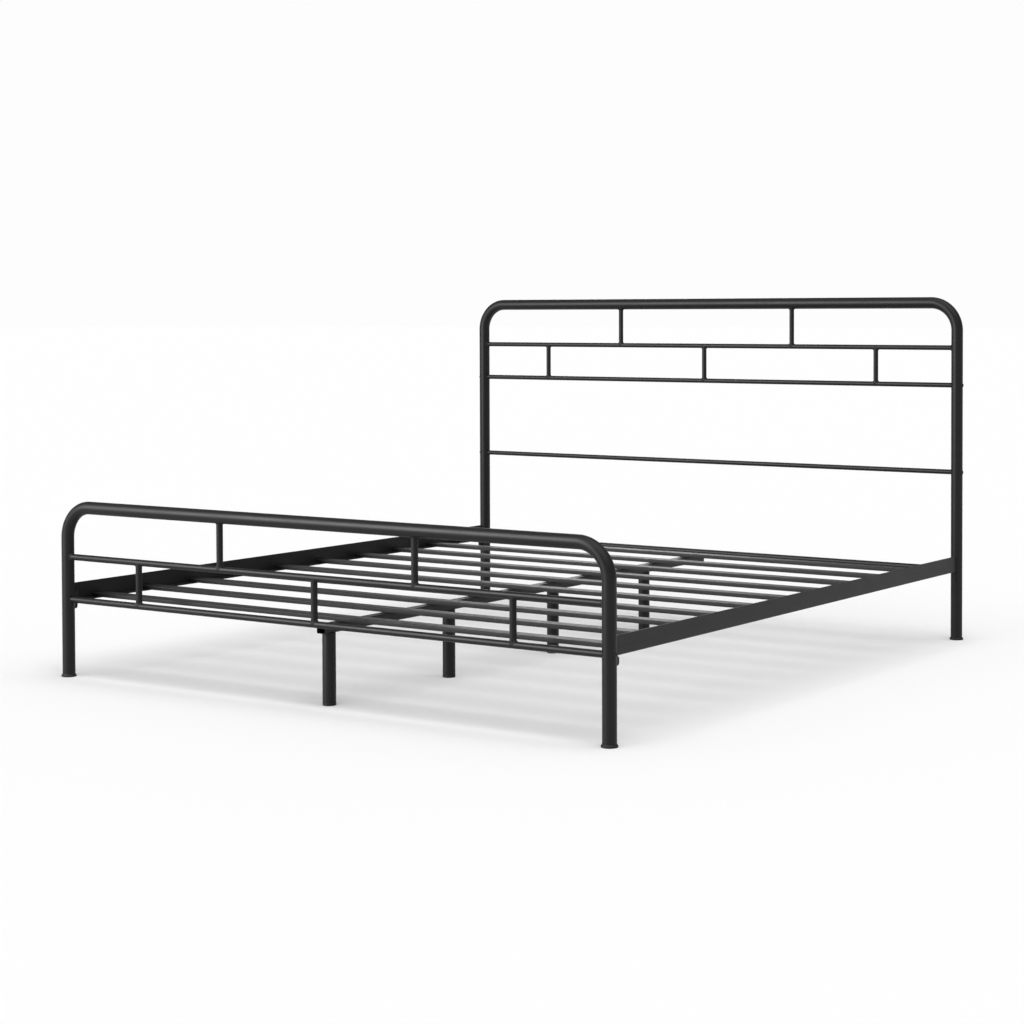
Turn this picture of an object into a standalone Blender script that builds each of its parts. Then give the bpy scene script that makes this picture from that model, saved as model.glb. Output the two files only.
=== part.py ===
"""Metal bed frame: a bent-tube headboard and footboard joined by two angle side rails.

Axes: X across the bed, Y along it with the head end at +Y, Z up. The origin is on the floor,
at the centre of the frame. All lengths are in metres.
"""

import math

import bmesh
import bpy
import numpy as np
from mathutils import Matrix

# Overall frame, measured between post centrelines
POST_SPACING_X = 1.930
POST_SPACING_Y = 2.130

# Gap between pieces that touch, and how far joined shapes run into each other
FIT_GAP = 0.0003
WELD_OVERLAP = 0.0015

# Bent main tubes: two posts and a top rail in one length
POST_RADIUS = 0.019
POST_WALL = 0.0015
BEND_RADIUS = 0.0925
HEAD_RAIL_Z = 1.117
FOOT_RAIL_Z = 0.511
BEND_STEPS = 8
POST_SIDES = 24

# Cross bars and spindles of the two ends
HEAD_BARS_Z = {"upper": 0.968, "second": 0.844, "middle": 0.556}
FOOT_UPPER_BAR_Z = 0.3605
LOWER_BAR_ABOVE_RAIL = 0.0055
HEAD_TUBE_RADIUS = 0.008
FOOT_TUBE_RADIUS = 0.0095
THIN_WALL = 0.0012
THIN_SIDES = 16
BOLT_SIDES = 12
UPPER_SPINDLES_X = {"left": -0.350, "right": 0.350}
LOWER_SPINDLES_X = {"left": -0.670, "middle": 0.0, "right": 0.670}

# Foot caps under the posts
CAP_HEIGHT = 0.009
CAP_FLARE = 0.0032
CAP_LIP = 0.004
CAP_EDGE = 0.0012
CAP_STEM_DEPTH = 0.024
CAP_STEM_TAPER = 0.002

# Side rails, folded angle with the lower flange pointing inwards
RAIL_BOTTOM_Z = 0.227
RAIL_HEIGHT = 0.052
RAIL_FLANGE = 0.032
RAIL_SHEET = 0.002
RAIL_FOLD_RADIUS = 0.003
RAIL_END_CLEARANCE = 0.001
RAIL_NOTCH_CLEARANCE = 0.011

# Brackets between the posts and the side rails, reaching out from the face of the post
BRACKET_OFFSET = 0.0015
BRACKET_SHEET = 0.003
BRACKET_REACH = 0.020
BRACKET_BELOW_RAIL = 0.026
BRACKET_UNDER_RAIL_TOP = 0.005
BRACKET_CHAMFER_Y = 0.010
BRACKET_CHAMFER_Z = 0.0075
BRACKET_RELIEF_DEPTH = 0.007
BRACKET_RELIEF_BELOW_RAIL = 0.0055
BRACKET_RELIEF_SLOPE = 0.004

# Slats, folded channels open downwards
SLAT_COUNT = 10
SLAT_END_MARGIN_Y = 0.125
SLAT_WIDTH = 0.045
SLAT_HEIGHT = 0.012
SLAT_SHEET = 0.0015
SLAT_FOLD_RADIUS = 0.0025
SLAT_END_CLEARANCE = 0.001

# Centre rail, and the tongues welded to the lower bars that its open ends slip over
CENTRE_RAIL_WIDTH = 0.030
CENTRE_RAIL_HEIGHT = 0.026
CENTRE_RAIL_WALL = 0.0015
CENTRE_RAIL_CORNER = 0.003
CENTRE_RAIL_END_GAP = 0.0185
TONGUE_SIDE_CLEARANCE = 0.0015
TONGUE_SHEET = 0.003
TONGUE_INSERTION = 0.027

# Centre legs, screwed into nuts that are welded inside the centre rail
LEG_COUNT = 4
FIRST_LEG_SETBACK = 0.062
LAST_LEG_SETBACK = 0.409
LEG_TOP_SHEET = 0.003
STUD_RADIUS = 0.004
STUD_LENGTH = 0.014
NUT_RADIUS = 0.0075
NUT_HEIGHT = 0.0065
GLIDE_HEIGHT = 0.008
GLIDE_EDGE = 0.0015
GLIDE_STEM_DEPTH = 0.020

# Bolts
BAR_BOLT_RADIUS = 0.003
BAR_BOLT_HEAD_RADIUS = 0.0065
BAR_BOLT_HEAD_HEIGHT = 0.003
BAR_BOLT_BITE = 0.014
RAIL_BOLT_RADIUS = 0.004
RAIL_BOLT_HEAD_RADIUS = 0.0075
RAIL_BOLT_HEAD_HEIGHT = 0.0053
RAIL_BOLT_FROM_POST = 0.0115
RAIL_BOLT_ABOVE_RAIL = 0.023
HOLE_CLEARANCE = 0.0003

# Derived places
HALF_X = POST_SPACING_X / 2
HALF_Y = POST_SPACING_Y / 2
POST_FACE_Y = HALF_Y - POST_RADIUS
WEB_X = HALF_X + BRACKET_OFFSET + BRACKET_SHEET + FIT_GAP
RAIL_TOP_Z = RAIL_BOTTOM_Z + RAIL_HEIGHT
RAIL_BOLT_Z = RAIL_BOTTOM_Z + RAIL_BOLT_ABOVE_RAIL
LOWER_BAR_Z = RAIL_BOTTOM_Z + LOWER_BAR_ABOVE_RAIL
CENTRE_RAIL_TOP_Z = RAIL_BOTTOM_Z + RAIL_SHEET
CENTRE_RAIL_BOTTOM_Z = CENTRE_RAIL_TOP_Z - CENTRE_RAIL_HEIGHT
SLAT_BOTTOM_Z = CENTRE_RAIL_TOP_Z + FIT_GAP
LEG_TOP_Z = CENTRE_RAIL_BOTTOM_Z - FIT_GAP

SIDES = {"left": -1.0, "right": 1.0}
ENDS = {"foot": -1.0, "head": 1.0}


def clear_scene():
    """Removes every object, so that only the frame is left."""
    for item in list(bpy.data.objects):
        bpy.data.objects.remove(item)


def material(name, colour, roughness, metallic):
    """A Principled material with one even colour."""
    made = bpy.data.materials.new(name)
    made.use_nodes = True
    shader = made.node_tree.nodes["Principled BSDF"]
    shader.inputs["Base Color"].default_value = (*colour, 1.0)
    shader.inputs["Roughness"].default_value = roughness
    shader.inputs["Metallic"].default_value = metallic
    return made


def add_object(name, points, faces, made, smooth=True):
    """An object from points and faces, with its faces turned outwards."""
    mesh = bpy.data.meshes.new(name)
    mesh.from_pydata([tuple(point) for point in points], [], faces)
    shape = bmesh.new()
    shape.from_mesh(mesh)
    bmesh.ops.recalc_face_normals(shape, faces=shape.faces)
    shape.to_mesh(mesh)
    shape.free()
    mesh.materials.append(made)
    if smooth:
        mesh.polygons.foreach_set("use_smooth", [True] * len(mesh.polygons))
        mesh.set_sharp_from_angle(angle=math.radians(35))
    item = bpy.data.objects.new(name, mesh)
    bpy.context.collection.objects.link(item)
    return item


def ring_faces(rings, sides, closed):
    """Quads between neighbouring rings, joined end to end or capped."""
    faces = []
    for low in range(rings if closed else rings - 1):
        high = (low + 1) % rings
        for side in range(sides):
            after = (side + 1) % sides
            faces.append((low * sides + side, low * sides + after, high * sides + after, high * sides + side))
    if not closed:
        faces.append(tuple(range(sides)))
        faces.append(tuple(range((rings - 1) * sides, rings * sides)))
    return faces


def add_rings(name, rings, made, closed=False, smooth=True):
    """A skin over a stack of rings of points."""
    rings = np.asarray(rings)
    count, sides, _ = rings.shape
    return add_object(name, rings.reshape(-1, 3), ring_faces(count, sides, closed), made, smooth)


def add_tube(name, outer, inner, made, smooth=True):
    """A tube open at both ends, from its outer rings and its inner rings."""
    return add_rings(name, np.concatenate([outer, inner[::-1]]), made, closed=True, smooth=smooth)


def lathe(name, profile, place, made, sides):
    """A solid turned about Z from (radius, height) pairs that start and end on the axis."""
    angles = np.arange(sides) * 2 * math.pi / sides
    body = np.array([
        np.stack([radius * np.cos(angles), radius * np.sin(angles), np.full(sides, height)], axis=1)
        for radius, height in profile[1:-1]
    ])
    points = np.concatenate([body.reshape(-1, 3), [[0, 0, profile[0][1]], [0, 0, profile[-1][1]]]])
    count = len(body)
    faces = ring_faces(count, sides, closed=False)[:-2]
    for ring, pole in ((0, count * sides), (count - 1, count * sides + 1)):
        faces += [(ring * sides + i, ring * sides + (i + 1) % sides, pole) for i in range(sides)]
    item = add_object(name, points, faces, made)
    item.data.transform(place)
    return item


def along_x(x, y, z, direction):
    """Turns a lathed piece so that its axis runs from x in the given X direction."""
    return Matrix.Translation((x, y, z)) @ Matrix.Rotation(direction * math.pi / 2, 4, "Y")


def extrude(name, profile, axis, start, end, made, inner=None, smooth=False):
    """A straight length of a profile; a second inner profile makes it hollow."""
    def rings_of(outline):
        outline = np.asarray(outline)
        rings = []
        for distance in (start, end):
            along = np.full(len(outline), distance)
            columns = [outline[:, 0], outline[:, 1]]
            columns.insert(axis, along)
            rings.append(np.stack(columns, axis=1))
        return np.array(rings)

    if inner is None:
        return add_rings(name, rings_of(profile), made, smooth=smooth)
    return add_tube(name, rings_of(profile), rings_of(inner), made, smooth=smooth)


def arc(centre, radius, first_degrees, last_degrees, steps=4):
    """Points of an arc about a centre."""
    angles = np.radians(np.linspace(first_degrees, last_degrees, steps + 1))
    return [(centre[0] + radius * math.cos(a), centre[1] + radius * math.sin(a)) for a in angles]


def hexagon(centre, radius):
    """The corners of a hexagon about a centre."""
    turns = [corner * math.pi / 3 for corner in range(6)]
    return [(centre[0] + radius * math.cos(a), centre[1] + radius * math.sin(a)) for a in turns]


def combine(item, other, operation):
    """Welds another shape into an object (UNION) or cuts it out of it (DIFFERENCE)."""
    other.hide_render = True
    other.display_type = "WIRE"
    step = item.modifiers.new(other.name, "BOOLEAN")
    step.operation = operation
    step.object = other


def drill(item, name, bore, axis, span, centre):
    """Cuts a round hole of radius bore along X (axis 0) or Z (axis 2), over a span from end to end."""
    angles = np.arange(BOLT_SIDES) * 2 * math.pi / BOLT_SIDES
    circle = np.stack([centre[0] + bore * np.cos(angles), centre[1] + bore * np.sin(angles)], axis=1)
    cutter = extrude(name, circle, axis, *span, item.data.materials[0])
    combine(item, cutter, "DIFFERENCE")


def box(name, low, high, made):
    """A straight-edged block between two corners."""
    outline = [(low[0], low[1]), (high[0], low[1]), (high[0], high[1]), (low[0], high[1])]
    return extrude(name, outline, 2, low[2], high[2], made)


def arch_path(top_z):
    """Places and directions along the centreline of a bent main tube, foot to foot."""
    bend = BEND_RADIUS
    turns = np.linspace(0, math.pi / 2, BEND_STEPS + 1)
    left = [(bend - HALF_X - bend * math.cos(t), top_z - bend + bend * math.sin(t), t) for t in turns]
    right = [(-x, z, math.pi - t) for x, z, t in reversed(left)]
    bottom = CAP_HEIGHT + FIT_GAP
    return [(-HALF_X, bottom, 0.0), *left, *right, (HALF_X, bottom, math.pi)]


def arch_rings(y, path, radius):
    """Rings of a round tube along a path that lies in the plane of one bed end."""
    angles = np.arange(POST_SIDES) * 2 * math.pi / POST_SIDES
    return np.array([
        np.stack([
            x + radius * np.cos(angles) * math.cos(turn),
            y + radius * np.sin(angles),
            z - radius * np.cos(angles) * math.sin(turn),
        ], axis=1)
        for x, z, turn in path
    ])


def add_arch(name, y, top_z, bolt_heights, made):
    """The bent main tube of one end, drilled for the bolts of its removable bars."""
    path = arch_path(top_z)
    outer = arch_rings(y, path, POST_RADIUS)
    inner = arch_rings(y, path, POST_RADIUS - POST_WALL)
    arch = add_tube(name, outer, inner, made)
    reach = HALF_X + 2 * POST_RADIUS
    for index, z in enumerate(bolt_heights):
        bore = BAR_BOLT_RADIUS + HOLE_CLEARANCE
        drill(arch, f"{name}_drill_{index}", bore, 0, (-reach, reach), (y, z))
    return arch


def saddle(offset, radius):
    """How far a piece stops short of the axis of the round tube it meets, this far off that axis."""
    return np.sqrt(np.maximum((radius + FIT_GAP) ** 2 - np.square(offset), 0))


def add_bar(name, y, z, radius, made):
    """A horizontal tube between the posts of one end, its ends shaped to them."""
    angles = np.arange(THIN_SIDES) * 2 * math.pi / THIN_SIDES

    def rings(size):
        offset = size * np.cos(angles)
        height = z + size * np.sin(angles)
        reach = HALF_X - saddle(offset, POST_RADIUS)
        return np.array([np.stack([side * reach, y + offset, height], axis=1) for side in (-1, 1)])

    return add_tube(name, rings(radius), rings(radius - THIN_WALL), made)


def add_spindle(name, x, y, below, above, radius, made):
    """An upright tube between two horizontal ones, each given as (height, radius)."""
    angles = np.arange(THIN_SIDES) * 2 * math.pi / THIN_SIDES

    def rings(size):
        across = x + size * np.cos(angles)
        offset = size * np.sin(angles)
        low = below[0] + saddle(offset, below[1])
        high = above[0] - saddle(offset, above[1])
        return np.array([np.stack([across, y + offset, level], axis=1) for level in (low, high)])

    return add_tube(name, rings(radius), rings(radius - THIN_WALL), made)


def add_spindles(end, y, rail_z, upper_z, second_z, radius, made):
    """The staggered short spindles between the top rail and the first two bars."""
    rail = (rail_z, POST_RADIUS)
    upper = (upper_z, radius)
    second = (second_z, radius)
    for side, x in UPPER_SPINDLES_X.items():
        add_spindle(f"{end}_upper_spindle_{side}", x, y, upper, rail, radius, made)
    for side, x in LOWER_SPINDLES_X.items():
        add_spindle(f"{end}_lower_spindle_{side}", x, y, second, upper, radius, made)


def add_foot_cap(name, x, y, made):
    """A plug with a flared collar that closes the bottom of a post."""
    bore = POST_RADIUS - POST_WALL - FIT_GAP
    widest = POST_RADIUS + CAP_FLARE
    stem_top = CAP_HEIGHT + CAP_STEM_DEPTH
    profile = [
        (0, 0),
        (widest - CAP_EDGE, 0),
        (widest, CAP_EDGE),
        (widest, CAP_LIP),
        (POST_RADIUS + CAP_FLARE / 2, (CAP_LIP + CAP_HEIGHT) / 2),
        (POST_RADIUS + FIT_GAP, CAP_HEIGHT),
        (bore, CAP_HEIGHT),
        (bore, stem_top - CAP_STEM_TAPER),
        (bore - CAP_STEM_TAPER, stem_top),
        (0, stem_top),
    ]
    lathe(name, profile, Matrix.Translation((x, y, 0)), made, POST_SIDES)


def add_glide(name, y, made):
    """A plug flush with the tube that closes the bottom of a centre leg."""
    bore = POST_RADIUS - POST_WALL - FIT_GAP
    profile = [
        (0, 0),
        (POST_RADIUS - GLIDE_EDGE, 0),
        (POST_RADIUS, GLIDE_EDGE),
        (POST_RADIUS, GLIDE_HEIGHT),
        (bore, GLIDE_HEIGHT),
        (bore, GLIDE_HEIGHT + GLIDE_STEM_DEPTH),
        (0, GLIDE_HEIGHT + GLIDE_STEM_DEPTH),
    ]
    lathe(name, profile, Matrix.Translation((0, y, 0)), made, POST_SIDES)


def add_leg(name, y, made):
    """A centre leg: an upright tube with a disc welded into its top and a threaded stud in that."""
    bore = POST_RADIUS - POST_WALL
    stud_top = LEG_TOP_Z + STUD_LENGTH
    profile = [
        (0, stud_top),
        (STUD_RADIUS, stud_top),
        (STUD_RADIUS, LEG_TOP_Z),
        (POST_RADIUS, LEG_TOP_Z),
        (POST_RADIUS, GLIDE_HEIGHT + FIT_GAP),
        (bore, GLIDE_HEIGHT + FIT_GAP),
        (bore, LEG_TOP_Z - LEG_TOP_SHEET),
        (0, LEG_TOP_Z - LEG_TOP_SHEET),
    ]
    lathe(name, profile, Matrix.Translation((0, y, 0)), made, POST_SIDES)


def angle_profile(side):
    """The folded angle of a side rail, seen from its end: the upright web and the lower flange."""
    outer = WEB_X + RAIL_SHEET
    low = RAIL_BOTTOM_Z
    fold = RAIL_FOLD_RADIUS
    bend = (outer - fold, low + fold)
    points = [(outer, RAIL_TOP_Z), (WEB_X, RAIL_TOP_Z)]
    points += arc(bend, fold - RAIL_SHEET, 0, -90)
    points += [(outer - RAIL_FLANGE, low + RAIL_SHEET), (outer - RAIL_FLANGE, low)]
    points += arc(bend, fold, -90, 0)
    return [(side * x, z) for x, z in points]


def rail_bolt_y(end):
    """Where the rail bolts of one bed end cross their brackets."""
    return end * (POST_FACE_Y - RAIL_BOLT_FROM_POST)


def add_side_rail(label, side, made):
    """A side rail with its flange cut back and a bolt hole at each end."""
    reach = POST_FACE_Y - RAIL_END_CLEARANCE
    rail = extrude(f"{label}_side_rail", angle_profile(side), 1, -reach, reach, made)
    for end, sign in ENDS.items():
        start = sign * (POST_FACE_Y - BRACKET_REACH - RAIL_NOTCH_CLEARANCE)
        stop = sign * (reach + RAIL_SHEET)
        xs = sorted((side * (WEB_X - 2 * RAIL_FLANGE), side * (WEB_X - FIT_GAP / 2)))
        ys = sorted((start, stop))
        low = (xs[0], ys[0], RAIL_BOTTOM_Z - RAIL_SHEET)
        high = (xs[1], ys[1], RAIL_BOTTOM_Z + 2 * RAIL_FOLD_RADIUS)
        combine(rail, box(f"{label}_{end}_notch", low, high, made), "DIFFERENCE")
        span = (side * (WEB_X - RAIL_SHEET), side * (WEB_X + 2 * RAIL_SHEET))
        bore = RAIL_BOLT_RADIUS + HOLE_CLEARANCE
        drill(rail, f"{label}_{end}_rail_drill", bore, 0, span, (rail_bolt_y(sign), RAIL_BOLT_Z))


def add_bracket(label, side, end, made):
    """The plate welded to a post that carries one end of a side rail, relieved under the rail."""
    near = POST_FACE_Y - FIT_GAP
    far = POST_FACE_Y - BRACKET_REACH
    bottom = RAIL_BOTTOM_Z - BRACKET_BELOW_RAIL
    relief = RAIL_BOTTOM_Z - BRACKET_RELIEF_BELOW_RAIL
    top = RAIL_TOP_Z - BRACKET_UNDER_RAIL_TOP
    outline = [
        (near, bottom),
        (far + BRACKET_CHAMFER_Y, bottom),
        (far, bottom + BRACKET_CHAMFER_Z),
        (far, relief),
        (far + BRACKET_RELIEF_DEPTH, relief + BRACKET_RELIEF_SLOPE),
        (far + BRACKET_RELIEF_DEPTH, RAIL_BOTTOM_Z + RAIL_SHEET),
        (far, RAIL_BOTTOM_Z + RAIL_SHEET),
        (far, top - BRACKET_SHEET),
        (far + BRACKET_SHEET, top),
        (near, top),
    ]
    outline = [(end * y, z) for y, z in outline]
    start = HALF_X + BRACKET_OFFSET
    stop = start + BRACKET_SHEET
    plate = extrude(f"{label}_rail_bracket", outline, 0, side * start, side * stop, made)
    span = (side * (start - BRACKET_SHEET), side * (stop + BRACKET_SHEET))
    bore = RAIL_BOLT_RADIUS + HOLE_CLEARANCE
    drill(plate, f"{label}_bracket_drill", bore, 0, span, (rail_bolt_y(end), RAIL_BOLT_Z))


def add_rail_bolt(label, side, end, made):
    """A hexagon bolt that clamps a side rail to its bracket from inside the frame."""
    seat = HALF_X + BRACKET_OFFSET - FIT_GAP
    tip = seat + 2 * FIT_GAP + BRACKET_SHEET + RAIL_SHEET
    y = rail_bolt_y(end)
    shank = [
        (0, 0),
        (RAIL_BOLT_RADIUS, 0),
        (RAIL_BOLT_RADIUS, tip - seat + WELD_OVERLAP),
        (0, tip - seat + WELD_OVERLAP),
    ]
    name = f"{label}_rail_bolt"
    start = side * (seat - WELD_OVERLAP)
    bolt = lathe(name, shank, along_x(start, y, RAIL_BOLT_Z, side), made, BOLT_SIDES)
    outline = hexagon((y, RAIL_BOLT_Z), RAIL_BOLT_HEAD_RADIUS)
    back = side * (seat - RAIL_BOLT_HEAD_HEIGHT)
    combine(bolt, extrude(f"{name}_head", outline, 0, back, side * seat, made), "UNION")


def add_bar_bolt(name, side, y, z, made):
    """A round-headed bolt through a post into the end of a cross bar."""
    seat = HALF_X + POST_RADIUS + FIT_GAP
    grip = 2 * POST_RADIUS + BAR_BOLT_BITE
    head = BAR_BOLT_HEAD_RADIUS
    rise = BAR_BOLT_HEAD_HEIGHT
    profile = [
        (0, rise),
        (head * 0.55, rise * 0.96),
        (head * 0.82, rise * 0.72),
        (head, rise * 0.25),
        (head, 0),
        (BAR_BOLT_RADIUS, 0),
        (BAR_BOLT_RADIUS, -grip),
        (0, -grip),
    ]
    lathe(name, profile, along_x(side * seat, y, z, side), made, BOLT_SIDES)


def channel_profile(y):
    """The folded channel of a slat, seen from its end: open downwards."""
    half = SLAT_WIDTH / 2
    low = SLAT_BOTTOM_Z
    top = low + SLAT_HEIGHT
    fold = SLAT_FOLD_RADIUS
    inside = fold - SLAT_SHEET
    points = [(half, low)]
    points += arc((half - fold, top - fold), fold, 0, 90)
    points += arc((fold - half, top - fold), fold, 90, 180)
    points += [(-half, low), (SLAT_SHEET - half, low)]
    points += arc((fold - half, top - fold), inside, 180, 90)
    points += arc((half - fold, top - fold), inside, 90, 0)
    points += [(half - SLAT_SHEET, low)]
    return [(y + across, z) for across, z in points]


def add_slats(made):
    """Evenly spaced slats that rest on the side rails and the centre rail."""
    reach = WEB_X - SLAT_END_CLEARANCE
    places = np.linspace(SLAT_END_MARGIN_Y - HALF_Y, HALF_Y - SLAT_END_MARGIN_Y, SLAT_COUNT)
    for number, y in enumerate(places, start=1):
        extrude(f"slat_{number:02d}", channel_profile(float(y)), 0, -reach, reach, made)


def rounded_rectangle(half_width, low, high, radius):
    """A rectangle about X = 0 with round corners."""
    corners = [
        ((half_width - radius, low + radius), -90),
        ((half_width - radius, high - radius), 0),
        ((radius - half_width, high - radius), 90),
        ((radius - half_width, low + radius), 180),
    ]
    points = []
    for centre, first in corners:
        points += arc(centre, radius, first, first + 90)
    return points


def leg_places():
    """Where the centre legs stand along the bed."""
    return [float(y) for y in np.linspace(FIRST_LEG_SETBACK - HALF_Y, HALF_Y - LAST_LEG_SETBACK, LEG_COUNT)]


def add_centre_rail(made):
    """The rectangular tube down the middle, open at its ends, with the nuts for the legs inside it."""
    reach = HALF_Y - FOOT_TUBE_RADIUS - CENTRE_RAIL_END_GAP
    wall = CENTRE_RAIL_WALL
    low = CENTRE_RAIL_BOTTOM_Z
    high = CENTRE_RAIL_TOP_Z
    half = CENTRE_RAIL_WIDTH / 2
    outer = rounded_rectangle(half, low, high, CENTRE_RAIL_CORNER)
    inner = rounded_rectangle(half - wall, low + wall, high - wall, CENTRE_RAIL_CORNER - wall)
    rail = extrude("centre_rail", outer, 1, -reach, reach, made, inner)
    seat = low + wall / 2
    for number, y in enumerate(leg_places(), start=1):
        nut = hexagon((0, y), NUT_RADIUS)
        nut = extrude(f"centre_rail_nut_{number}", nut, 2, seat, low + wall + NUT_HEIGHT, made)
        combine(rail, nut, "UNION")
        bore = STUD_RADIUS + HOLE_CLEARANCE
        span = (low - wall, low + 2 * wall + NUT_HEIGHT)
        drill(rail, f"centre_rail_drill_{number}", bore, 2, span, (0, y))


def add_tongue(end, sign, made):
    """The flat tongue welded to a lower bar, its root shaped to the bar, that carries the centre rail."""
    top = CENTRE_RAIL_TOP_Z - CENTRE_RAIL_WALL - FIT_GAP
    levels = np.linspace(top - TONGUE_SHEET, top, 5)
    roots = HALF_Y - saddle(levels - LOWER_BAR_Z, FOOT_TUBE_RADIUS)
    tip = HALF_Y - FOOT_TUBE_RADIUS - CENTRE_RAIL_END_GAP - TONGUE_INSERTION
    outline = [(tip, top), (tip, top - TONGUE_SHEET), *zip(roots, levels)]
    outline = [(sign * y, z) for y, z in outline]
    width = CENTRE_RAIL_WIDTH / 2 - CENTRE_RAIL_WALL - TONGUE_SIDE_CLEARANCE
    extrude(f"centre_rail_{end}_tongue", outline, 0, -width, width, made)


def add_headboard(coat, steel):
    """The tall end: bent tube, four cross bars, five spindles and the bar bolts."""
    y = HALF_Y
    radius = HEAD_TUBE_RADIUS
    bolted = (HEAD_BARS_Z["second"], HEAD_BARS_Z["middle"])
    add_arch("headboard_arch", y, HEAD_RAIL_Z, bolted, coat)
    for label, z in HEAD_BARS_Z.items():
        add_bar(f"headboard_{label}_bar", y, z, radius, coat)
    add_bar("headboard_lower_bar", y, LOWER_BAR_Z, FOOT_TUBE_RADIUS, coat)
    upper = HEAD_BARS_Z["upper"]
    add_spindles("headboard", y, HEAD_RAIL_Z, upper, HEAD_BARS_Z["second"], radius, coat)
    for side, sign in SIDES.items():
        for label in ("second", "middle"):
            name = f"headboard_{label}_bar_bolt_{side}"
            add_bar_bolt(name, sign, y, HEAD_BARS_Z[label], steel)


def add_footboard(coat, steel):
    """The low end: bent tube, two cross bars, five spindles and the bar bolts."""
    y = -HALF_Y
    radius = FOOT_TUBE_RADIUS
    add_arch("footboard_arch", y, FOOT_RAIL_Z, (LOWER_BAR_Z,), coat)
    add_bar("footboard_upper_bar", y, FOOT_UPPER_BAR_Z, radius, coat)
    add_bar("footboard_lower_bar", y, LOWER_BAR_Z, radius, coat)
    add_spindles("footboard", y, FOOT_RAIL_Z, FOOT_UPPER_BAR_Z, LOWER_BAR_Z, radius, coat)
    for side, sign in SIDES.items():
        add_bar_bolt(f"footboard_lower_bar_bolt_{side}", sign, y, LOWER_BAR_Z, steel)


def add_corners(coat, steel, plastic):
    """Foot caps, rail brackets and rail bolts at the four posts."""
    for end, along in ENDS.items():
        for side, across in SIDES.items():
            label = f"{end}_{side}"
            x = across * HALF_X
            y = along * HALF_Y
            add_foot_cap(f"{label}_foot_cap", x, y, plastic)
            add_bracket(label, across, along, coat)
            add_rail_bolt(label, across, along, steel)


def add_centre_legs(coat, plastic):
    """Evenly pitched legs under the centre rail, each with its glide."""
    for number, y in enumerate(leg_places(), start=1):
        add_leg(f"centre_leg_{number}", y, coat)
        add_glide(f"centre_leg_glide_{number}", y, plastic)


def build():
    """The whole frame."""
    clear_scene()
    coat = material("powder_coat", (0.028, 0.028, 0.030), 0.45, 0.0)
    steel = material("black_steel", (0.040, 0.040, 0.042), 0.38, 0.8)
    plastic = material("cap_plastic", (0.018, 0.018, 0.019), 0.62, 0.0)
    add_headboard(coat, steel)
    add_footboard(coat, steel)
    add_corners(coat, steel, plastic)
    for side, sign in SIDES.items():
        add_side_rail(side, sign, coat)
    add_centre_rail(coat)
    for end, sign in ENDS.items():
        add_tongue(end, sign, coat)
    add_centre_legs(coat, plastic)
    add_slats(coat)


build()
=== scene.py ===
"""Looks of the metal bed frame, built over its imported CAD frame.

Every CAD node is stood for by a finished piece with the same name and its finish: coated tube
work with its weld beads, folded rails and slats, moulded caps and blackened bolts. Lengths are in
metres, X across the bed, Y along it with the head end at +Y, Z up.
"""

import math

import bmesh
import bpy
import numpy as np
from mathutils import Matrix, Vector


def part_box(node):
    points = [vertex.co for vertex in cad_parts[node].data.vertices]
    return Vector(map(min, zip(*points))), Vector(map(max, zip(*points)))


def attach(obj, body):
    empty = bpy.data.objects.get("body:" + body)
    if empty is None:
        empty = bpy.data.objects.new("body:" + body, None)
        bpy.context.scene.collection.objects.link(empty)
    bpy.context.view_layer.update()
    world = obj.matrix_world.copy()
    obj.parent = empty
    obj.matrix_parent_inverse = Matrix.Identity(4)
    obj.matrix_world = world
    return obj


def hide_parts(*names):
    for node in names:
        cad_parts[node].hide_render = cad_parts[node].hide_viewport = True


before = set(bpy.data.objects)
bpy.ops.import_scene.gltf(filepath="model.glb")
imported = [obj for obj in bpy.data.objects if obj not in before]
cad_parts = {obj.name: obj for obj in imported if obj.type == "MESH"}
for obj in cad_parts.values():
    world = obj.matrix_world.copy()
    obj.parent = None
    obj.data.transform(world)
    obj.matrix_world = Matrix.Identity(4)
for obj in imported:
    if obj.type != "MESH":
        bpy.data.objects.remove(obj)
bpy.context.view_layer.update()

# Main tube, and the two sizes of thin tube
TUBE_WALL = 0.0015
THIN_WALL = 0.0012
BEND_RADIUS = 0.0925
BEND_STEPS = 40
TUBE_SIDES = 64
THIN_SIDES = 48
BEND_FLATTENING = 0.012
FIT_GAP = 0.0003

# Angles in degrees above which two faces meet in a sharp edge
CREASE = 35
BOLT_CREASE = 30
MOULDED_CREASE = 40
TUBE_CREASE = 50
WELD_CREASE = 60

# Folded sheet
RAIL_SHEET = 0.002
RAIL_FOLD = 0.003
FLANGE_CUT_BACK = 0.011
BRACKET_CORNER = 0.003
BRACKET_HEEL = 0.0075
BRACKET_NECK_DEPTH = 0.007
BRACKET_NECK_BELOW_RAIL = 0.0055
BRACKET_NECK_SLOPE = 0.004
SLAT_SHEET = 0.0015
SLAT_FOLD = 0.0025
CENTRE_WALL = 0.0015
CENTRE_CORNER = 0.003
CUT_EDGE = 0.0004
FINE_EDGE = 0.0003

# Weld beads
WELD_LEG = 0.0026
WELD_SWELL = 0.0007
WELD_RIPPLE = 0.30
WELD_PITCH = 0.0014
WELD_SINK = 0.0006
WELD_STEPS = 7
WELD_INSET = 0.001
WELD_UNDER_RAIL = 0.002

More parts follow.
